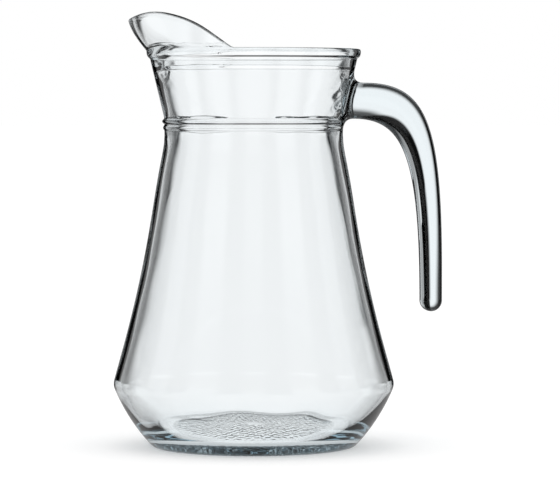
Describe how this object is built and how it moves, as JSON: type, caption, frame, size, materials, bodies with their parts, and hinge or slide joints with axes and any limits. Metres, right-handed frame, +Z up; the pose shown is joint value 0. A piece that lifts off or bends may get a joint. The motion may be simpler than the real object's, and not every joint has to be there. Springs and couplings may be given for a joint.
{
  "type": "glass pitcher",
  "caption": "Clear glass pitcher with a flared body, a ringed neck, a raised pouring lip and a handle that is open at its lower end.",
  "frame": {"origin": "on the vessel's axis, in the plane of its resting ring", "axes": "+Z up along the vessel's axis, +X towards the handle, -X towards the pouring lip"},
  "size_m": [0.1789, 0.1528, 0.236],
  "materials": {
    "clear_glass": "fire-polished clear soda-lime glass, faintly blue-green where it is thick"
  },
  "bodies": {
    "root": {"vessel": "clear_glass", "handle": "clear_glass"}
  },
  "joints": []
}
